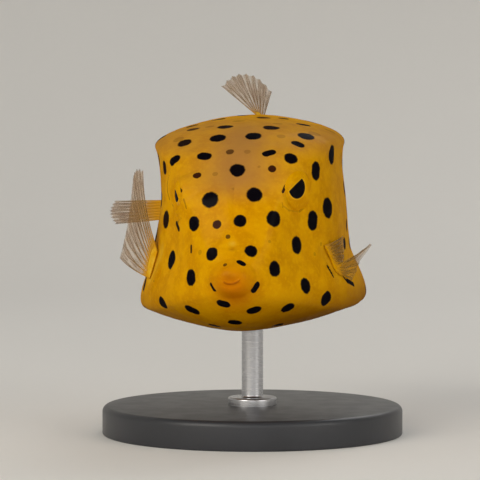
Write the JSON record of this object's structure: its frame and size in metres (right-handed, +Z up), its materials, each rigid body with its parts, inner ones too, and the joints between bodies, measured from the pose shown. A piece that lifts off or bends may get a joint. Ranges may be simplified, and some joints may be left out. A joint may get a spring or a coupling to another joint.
{
  "type": "young yellow boxfish",
  "caption": "Life-size young yellow boxfish, snout a little down and tail turned aside, with spread fins, on a rod and round display base.",
  "frame": {"origin": "centre of the underside of the stand's base", "axes": "+Z up, the fish faces -Y, +X to the fish's left"},
  "size_m": [0.0463, 0.0605, 0.0508],
  "materials": {
    "skin_yellow": "satin painted skin, deep yellow with round near-black spots",
    "lip_orange": "satin painted skin, warm orange-brown",
    "eye_gloss": "clear glossy eye, yellow iris with a black drop-shaped pupil",
    "fin_membrane": "thin cloudy membrane with pale rays",
    "stand_charcoal": "satin charcoal paint",
    "stand_steel": "brushed steel"
  },
  "bodies": {
    "root": {"head": "skin_yellow", "carapace": "skin_yellow", "upper_lip": "lip_orange", "lower_lip": "lip_orange", "eye_left": "eye_gloss", "eye_right": "eye_gloss", "pectoral_fin_left": "fin_membrane", "pectoral_fin_right": "fin_membrane", "dorsal_fin": "fin_membrane", "anal_fin": "fin_membrane", "tail_stalk": "skin_yellow", "tail_fin": "fin_membrane", "stand_base": "stand_charcoal", "stand_rod": "stand_steel"}
  },
  "joints": []
}
